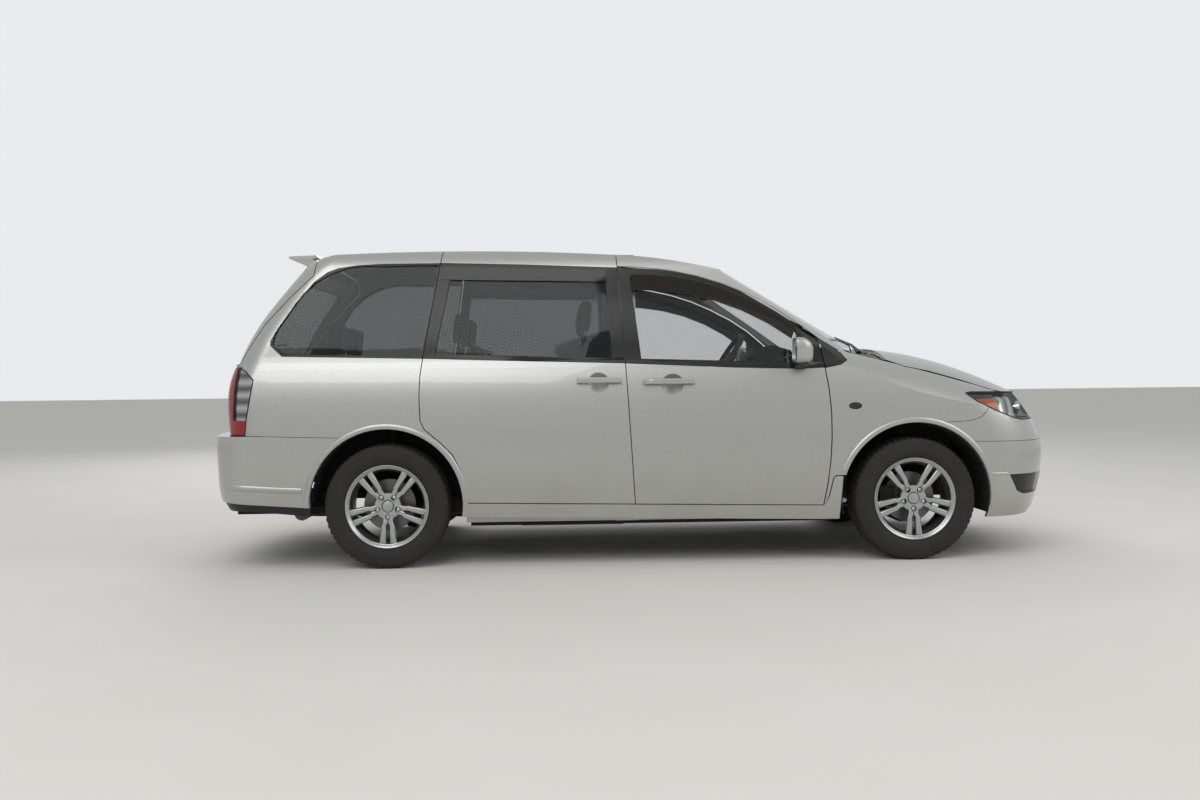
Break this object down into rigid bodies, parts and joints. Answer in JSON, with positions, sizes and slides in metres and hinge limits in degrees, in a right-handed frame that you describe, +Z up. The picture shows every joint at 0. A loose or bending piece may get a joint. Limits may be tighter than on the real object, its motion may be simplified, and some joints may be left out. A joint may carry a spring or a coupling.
{
  "type": "camper van",
  "caption": "People carrier with hinged front doors, bonnet and tailgate, steered front wheels and hollow three-row cabin.",
  "frame": {"origin": "centre of the vehicle's length and width, on the ground under the tyres", "axes": "+X forward towards the bonnet, +Y to the vehicle's left, +Z up"},
  "size_m": [4.8029, 2.03, 1.7457],
  "materials": {
    "body_paint": "warm silver metallic lacquer",
    "bumper_paint": "plastic painted in the body colour",
    "clear_glass": "clear",
    "dark_glass": "dark privacy tint",
    "smoked_plastic": "smoked, see-through",
    "black_trim": "grained",
    "lamp_lens": "clear lens over bright reflectors",
    "bright_trim": "bright",
    "cabin_plastic": "soft grained",
    "seat_cloth": "woven cloth",
    "alloy": "painted silver",
    "tyre_rubber": "worn rubber",
    "cast_parts": "rough",
    "plain_steel": "dull"
  },
  "bodies": {
    "shell": {"sliding_door_right": "body_paint", "sliding_door_left": "body_paint", "side_frame_right": "body_paint", "side_frame_left": "body_paint", "fender_right": "body_paint", "fender_left": "body_paint", "sliding_handles": "bumper_paint", "sliding_glass": "dark_glass", "sliding_visors": "smoked_plastic", "headlamp_right": "lamp_lens", "headlamp_left": "lamp_lens", "roof": "body_paint", "windscreen": "clear_glass", "quarter_glass": "dark_glass", "sail_panels": "black_trim", "fog_pans": "black_trim", "grille": "bright_trim", "front_bumper": "bumper_paint", "rear_bumper": "bumper_paint", "rear_valance": "black_trim", "tail_lamps": "lamp_lens", "side_skirts": "bumper_paint", "cowl_panel": "black_trim", "front_liners": "black_trim", "underbody": "body_paint", "engine": "cast_parts", "fuel_tank": "plain_steel", "front_suspension": "cast_parts", "rear_axle": "cast_parts", "cabin_mirror": "cabin_plastic", "exhaust": "plain_steel", "dashboard": "cabin_plastic", "seats": "seat_cloth"},
    "front_door_right": {"front_door_right": "body_paint", "front_glass_right": "clear_glass", "front_visor_right": "smoked_plastic", "door_mirror_right": "bumper_paint"},
    "front_door_left": {"front_door_left": "body_paint", "front_glass_left": "clear_glass", "front_visor_left": "smoked_plastic", "door_mirror_left": "bumper_paint"},
    "bonnet": {"bonnet": "body_paint"},
    "tailgate": {"tailgate": "body_paint", "rear_glass": "dark_glass"},
    "steering_wheel": {"steering_wheel": "cabin_plastic"},
    "knuckle_right": {"knuckle_right": "cast_parts"},
    "knuckle_left": {"knuckle_left": "cast_parts"},
    "wheel_front_right": {"rim_front_right": "alloy", "tyre_front_right": "tyre_rubber"},
    "wheel_front_left": {"rim_front_left": "alloy", "tyre_front_left": "tyre_rubber"},
    "wheel_rear_right": {"rim_rear_right": "alloy", "tyre_rear_right": "tyre_rubber"},
    "wheel_rear_left": {"rim_rear_left": "alloy", "tyre_rear_left": "tyre_rubber"}
  },
  "joints": [
    {"name": "front_door_right_hinge", "type": "hinge", "parent": "shell", "child": "front_door_right", "pos_m": [0.8925, -0.88, 0.72], "axis": [0, 0, 1], "range_deg": [0, 65]},
    {"name": "front_door_left_hinge", "type": "hinge", "parent": "shell", "child": "front_door_left", "pos_m": [0.8925, 0.88, 0.72], "axis": [0, 0, -1], "range_deg": [0, 65]},
    {"name": "bonnet_hinge", "type": "hinge", "parent": "shell", "child": "bonnet", "pos_m": [1.3275, 0, 1.108], "axis": [0, -1, 0], "range_deg": [0, 50]},
    {"name": "tailgate_hinge", "type": "hinge", "parent": "shell", "child": "tailgate", "pos_m": [-1.7305, 0, 1.677], "axis": [0, 1, 0], "range_deg": [0, 85]},
    {"name": "steering", "type": "hinge", "parent": "shell", "child": "steering_wheel", "pos_m": [0.5045, -0.37, 1.092], "axis": [-0.848, 0, 0.5299], "range_deg": [-525, 525]},
    {"name": "knuckle_right_steer", "type": "hinge", "parent": "shell", "child": "knuckle_right", "pos_m": [1.4575, -0.715, 0.2], "axis": [0, 0.2409, 0.9706], "range_deg": [-35, 35]},
    {"name": "knuckle_left_steer", "type": "hinge", "parent": "shell", "child": "knuckle_left", "pos_m": [1.4575, 0.715, 0.2], "axis": [0, -0.2409, 0.9706], "range_deg": [-35, 35]},
    {"name": "wheel_front_right_spin", "type": "hinge", "parent": "knuckle_right", "child": "wheel_front_right", "pos_m": [1.4575, -0.77, 0.332], "axis": [0, 1, 0], "continuous": true},
    {"name": "wheel_front_left_spin", "type": "hinge", "parent": "knuckle_left", "child": "wheel_front_left", "pos_m": [1.4575, 0.77, 0.332], "axis": [0, 1, 0], "continuous": true},
    {"name": "wheel_rear_right_spin", "type": "hinge", "parent": "shell", "child": "wheel_rear_right", "pos_m": [-1.3825, -0.7725, 0.332], "axis": [0, 1, 0], "continuous": true},
    {"name": "wheel_rear_left_spin", "type": "hinge", "parent": "shell", "child": "wheel_rear_left", "pos_m": [-1.3825, 0.7725, 0.332], "axis": [0, 1, 0], "continuous": true}
  ],
  "couplings": [
    {"joint": "knuckle_right_steer", "follows": "steering", "ratio": 0.0666},
    {"joint": "knuckle_left_steer", "follows": "steering", "ratio": 0.0666}
  ]
}
